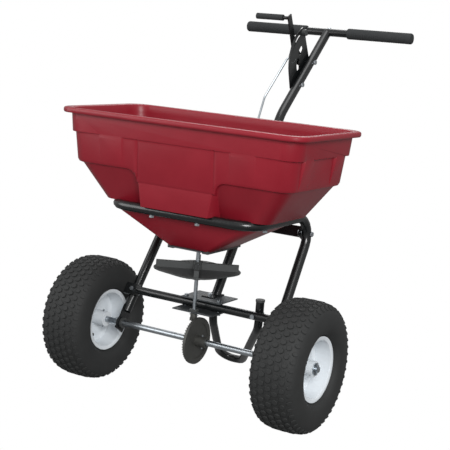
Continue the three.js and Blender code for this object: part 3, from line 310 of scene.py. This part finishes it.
def makeHopper():
    clearSelection()
    h = hopper
    # sections are (half x, front, back, z); the lip's are set in from its widest line
    lip = ((1.5, h["rimFoot"]), (0, h["rimFoot"] + 3), (0, h["rimTop"] - 4), (1.2, h["rimTop"] - 1.2),
           (4, h["rimTop"]), (13, h["rimTop"]), (17, h["rimTop"] - 1.2), (18.6, h["rimTop"] - 5))
    sections = [(352 - inset, -164 + inset, 186 - inset, z) for inset, z in lip]
    sections += [
        (331, -146, 168, 716), (327.5, -144.5, 166.5, h["step"]), (313, -133.9, 155.9, h["bandFoot"] + 6),
        (311, -132, 154, h["bandFoot"] + 1.6), (307, -128.5, 150.5, h["bandFoot"]),
        (303, -125, 147, h["bandFoot"] - 1),
        (240, -91, 121, h["shelf"]), (197, -88.5, 118.5, h["shelf"]),
        (197, -88.5, 118.5, h["skirt"]), (60, -53, 108, h["outlet"])]
    halfX, front, back, height = sections[0]
    bpy.ops.mesh.primitive_plane_add(size=1, location=(0, (front + back) / 2 * mm, height * mm))
    bpy.context.object.scale = (2 * halfX * mm, (back - front) * mm, 1)
    bpy.ops.object.transform_apply(location=True, rotation=True, scale=True)
    bpy.ops.object.mode_set(mode="EDIT")
    bpy.ops.mesh.select_all(action="SELECT")
    bpy.ops.mesh.bevel(affect="VERTICES", offset=h["corner"] * mm, segments=7)
    bpy.ops.mesh.delete(type="ONLY_FACE")
    bpy.ops.mesh.select_all(action="SELECT")
    for here, there in zip(sections, sections[1:]):
        drawSection(here, there)
    bpy.ops.mesh.edge_face_add()

    # cuts that bound the panels and the bulges
    def slice(normal, at, low=h["bandFoot"] + 5, high=h["step"] + 1):
        pick(lambda co: low < co.z / mm < high, "polygons")
        bpy.ops.mesh.bisect(plane_co=[v * mm for v in at], plane_no=normal)

    turns = [math.radians(angle) for angle in (0, 15, 30, 45, 60, 75, 90)]
    arc = [(h["bulgeTop"] + h["fillet"] * (1 - math.cos(turn)), h["fillet"] * (1 - math.sin(turn)))
           for turn in turns]
    for x in [h["bulgeTop"] - 8, h["bulgeTop"] - 3] + [x for x, drop in arc]:
        slice((1, 0, 0), (x, 0, 0), h["shelf"] - 1)
        slice((1, 0, 0), (-x, 0, 0), h["shelf"] - 1)
    for x in (h["rib"][0] - h["ribSlope"], h["rib"][0], h["rib"][1], h["rib"][1] + h["ribSlope"]):
        slice((1, 0, 0), (x, 0, 0))
        slice((1, 0, 0), (-x, 0, 0))
    middle = h["middle"]
    nearRib, farRib = h["sideRib"]
    for y in (nearRib - h["ribSlope"], nearRib, farRib, farRib + h["ribSlope"]):
        slice((0, 1, 0), (0, y, 0))
        slice((0, 1, 0), (0, 2 * middle - y, 0))
    slice((0, 0, 1), (0, 0, h["step"] - 1.5))
    slice((0, 0, 1), (0, 0, h["step"] - 9))

    # panels step in under the upper band and fade out towards the band's foot
    def inPanel(co):
        x, y = abs(co.x / mm), co.y / mm
        onSide = x > 300 and abs(y - middle) < 130
        if onSide:
            y = abs(y - middle)
            return y > middle - nearRib + 1 or y < middle - farRib - 1
        return x < h["rib"][0] - 1 or x > h["rib"][1] + 1

    def sink(low, high, share):
        for side, axis in ((-1, 1), (1, 1), (-1, 0), (1, 0)):
            def wanted(co):
                x, y, z = co.x / mm, co.y / mm, co.z / mm
                if not low < z < high or not inPanel(co):
                    return False
                reach = abs(y - middle) - 144 if axis else abs(x) - 314
                return reach > -28 and (y - middle if axis else x) * side > 0
            if pick(wanted):
                push = [0, 0, 0]
                push[axis] = -side * share * h["frontPanel" if axis else "sidePanel"] * mm
                bpy.ops.transform.translate(value=push)

    sink(h["step"] - 2, h["step"] - 1, 1)
    sink(h["step"] - 10, h["step"] - 8, 0.93)

    # front and rear bulges stand out from the pockets, down to the shelf; the pockets' tops curve into them
    for side in (-1, 1):
        def onFoot(co, depths):
            low = h["bandFoot"] - 2 < co.z / mm < h["bandFoot"] + 8
            return low and depths[0] < (co.y / mm - middle) * side < depths[1]
        for depths, push in (((144, 150), -2.4), ((141, 144), -0.8), ((138, 141), 2.5), ((135, 138), 5.9)):
            if pick(lambda co: onFoot(co, depths) and abs(co.x / mm) < h["bulgeTop"] - 1):
                bpy.ops.transform.translate(value=(0, side * push * mm, -h["fillet"] * mm))
        for x, drop in arc[:-1]:
            for depths, slope in (((135, 138), 0.37), ((138, 141), 0.25), ((141, 150), 0.1)):
                if pick(lambda co: onFoot(co, depths) and abs(abs(co.x / mm) - x) < 0.3):
                    bpy.ops.transform.translate(value=(0, -side * slope * drop * mm, -drop * mm))

        def onShelf(co):
            wide, out = abs(co.x / mm) < h["bulgeTop"] - 1, (co.y / mm - middle) * side > 101
            return wide and out and abs(co.z / mm - h["shelf"]) < 0.5
        if pick(onShelf):
            reach = h["shelfRear"] if side > 0 else -h["shelfFront"]
            bpy.ops.transform.translate(value=(0, reach * mm, 0))
            bpy.ops.transform.resize(value=(h["bulgeFoot"] / h["bulgeTop"], 1, 1), center_override=(0, 0, 0))

    bpy.ops.mesh.select_all(action="SELECT")
    bpy.ops.mesh.remove_doubles(threshold=0.0001)
    bpy.ops.mesh.normals_make_consistent(inside=False)
    bpy.ops.object.mode_set(mode="OBJECT")
    applyModifier("SOLIDIFY", thickness=h["wall"] * mm, offset=-1, use_even_offset=True,
                  thickness_clamp=1.0)
    applyModifier("BEVEL", width=h["edge"] * mm, segments=2, limit_method="ANGLE",
                  angle_limit=math.radians(28))
    bpy.context.object.matrix_world = toFrame
    finishPiece("hopperShell", "red_moulding", "body", ["hopper"], 32)


makeHopper()
print("hopper made")

# ---- tyres: a turf tread of staggered hexagonal blocks, with leaning lugs on the shoulders
tyre = dict(offset=316, crown=161.4, tread=165, half=64, bead=76.3, pitches=48, sides=96)


def treadBlock(places, tall, long, wide, lean=0.0):
    clearSelection()
    x, radius = places
    bpy.ops.mesh.primitive_cylinder_add(
        vertices=6, radius=0.5, depth=1, location=(0, 0, 0), end_fill_type="NGON")
    block = bpy.context.object
    block.scale = (wide * mm, long * mm, tall * mm)
    block.rotation_euler = (0, lean, 0)
    block.location = (x * mm, 0, (radius - tall / 2) * mm)
    bpy.ops.object.transform_apply(location=True, rotation=True, scale=True)
    applyModifier("BEVEL", width=0.8 * mm, segments=1, limit_method="ANGLE", angle_limit=math.radians(40))
    return block


def makeTyre(name, side, body):
    t = tyre
    outside = [(t["bead"], 45.5), (83.6, 45.6), (86, 48), (89, 54), (95, 60), (104, 63.4), (116, t["half"]),
               (128, 63.2), (138, 61), (147, 57.4), (153, 51.5), (157, 45), (160, 34), (t["crown"], 22),
               (t["crown"] + 0.4, 8)]
    inside = [(153, 8), (151, 28), (146, 46), (136, 54), (118, 56), (98, 53), (88, 44), (t["bead"], 38)]
    profile = [(r, -x) for r, x in outside] + outside[::-1] + inside[::-1] + [(r, -x) for r, x in inside]
    base = turnedShape(profile, t["sides"], closed=True)
    base.name = "tyreCarcass"
    parts = [base]
    step = 2 * math.pi / t["pitches"]
    rows = [((0, t["tread"]), 5, 15, 17, 0, 0), ((-18.5, t["tread"] - 0.3), 5, 15, 17, 0, 0.5),
            ((18.5, t["tread"] - 0.3), 5, 15, 17, 0, 0.5), ((-36, t["tread"] - 2.6), 6, 14, 15, -0.16, 0),
            ((36, t["tread"] - 2.6), 6, 14, 15, 0.16, 0), ((-51, t["tread"] - 9.5), 7, 11, 16, -0.75, 0.5),
            ((51, t["tread"] - 9.5), 7, 11, 16, 0.75, 0.5)]
    for places, tall, long, wide, lean, phase in rows:
        block = treadBlock(places, tall, long, wide, lean)
        for index in range(t["pitches"]):
            copied = block.copy()
            copied.data = block.data.copy()
            bpy.context.collection.objects.link(copied)
            copied.data.transform(Matrix.Rotation((index + phase) * step, 4, "X"))
            parts.append(copied)
        bpy.data.objects.remove(block, do_unlink=True)
    clearSelection()
    for part in parts:
        part.select_set(True)
    bpy.context.view_layer.objects.active = base
    bpy.ops.object.join()
    bpy.context.object.matrix_world = placed(side * t["offset"])
    finishPiece(name, "tyre_rubber", body, ["tyre_left" if side < 0 else "tyre_right"], 30)


makeTyre("tyreTurfLeft", -1, "axle")
makeTyre("tyreTurfRight", 1, "free_wheel")
print("tyres made")

# ---- rims: two pressed halves with rolled lips, a stepped well and a flat disc round the hub
rim = dict(half=49, lip=83, seat=75.6, well=70, bore=20.4, disc=2)


def makeRim(name, side, body):
    r = rim
    half, seat, well, disc = r["half"], r["seat"], r["well"], r["disc"]
    outer = [(r["lip"] - 0.5, -half), (r["lip"], -half + 1.4), (r["lip"] - 1, -half + 3), (seat, -half + 3.4),
             (seat, -30), (well + 3, -22), (well + 3, 22), (seat, 30), (seat, half - 3.4),
             (r["lip"] - 1, half - 3), (r["lip"], half - 1.4), (r["lip"] - 0.5, half)]
    inner = [(r["lip"] - 6, half), (73.2, half - 2), (72.4, half - 6), (72.4, 31), (well, 22), (well - 1.5, 6),
             (well - 6, 2.4), (56, disc), (50, 3.6), (34, 3.6), (29, disc), (r["bore"], disc)]
    profile = outer + inner + [(radius, -x) for radius, x in inner[::-1]]
    turnedShape(profile, 64, closed=True)
    bpy.context.object.matrix_world = placed(side * tyre["offset"])
    finishPiece(name, "wheel_paint", body, ["rim_left" if side < 0 else "rim_right"], 40)


makeRim("rimPressedLeft", -1, "axle")
makeRim("rimPressedRight", 1, "free_wheel")
print("rims made")

# ---- foam grips: ringed with fine grooves, with a rounded end
grip = dict(radius=15.4, inner=11.5, start=66.4, end=266.2, grooves=24, groovePitch=7)


def makeGrip(name, side, node):
    g = grip
    start, end, r = g["start"], g["end"], g["radius"]
    profile = [(g["inner"], start), (r - 3, start), (r - 0.8, start + 0.8), (r, start + 3)]
    for index in range(g["grooves"]):
        x = start + 14 + index * g["groovePitch"]
        profile += [(r, x), (r - 0.7, x + 1.2), (r - 0.7, x + 2.2), (r, x + 3.4)]
    profile += [(r, end - 4), (r - 1.4, end - 1.2), (r - 5, end), (0.4, end), (0.4, end - 3.6),
                (g["inner"], end - 3.6)]
    profile = [(radius, side * x) for radius, x in profile]
    turnedShape(profile, 32, closed=True)
    low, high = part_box("handle_bar")
    bpy.context.object.matrix_world = Matrix.Translation(
        (0, (low[1] + high[1]) / 2, (low[2] + high[2]) / 2)) @ Matrix.Rotation(-tip, 4, "X")
    finishPiece(name, "grip_foam", "body", [node], 40)


makeGrip("gripFoamLeft", -1, "grip_left")
makeGrip("gripFoamRight", 1, "grip_right")
print("grips made")
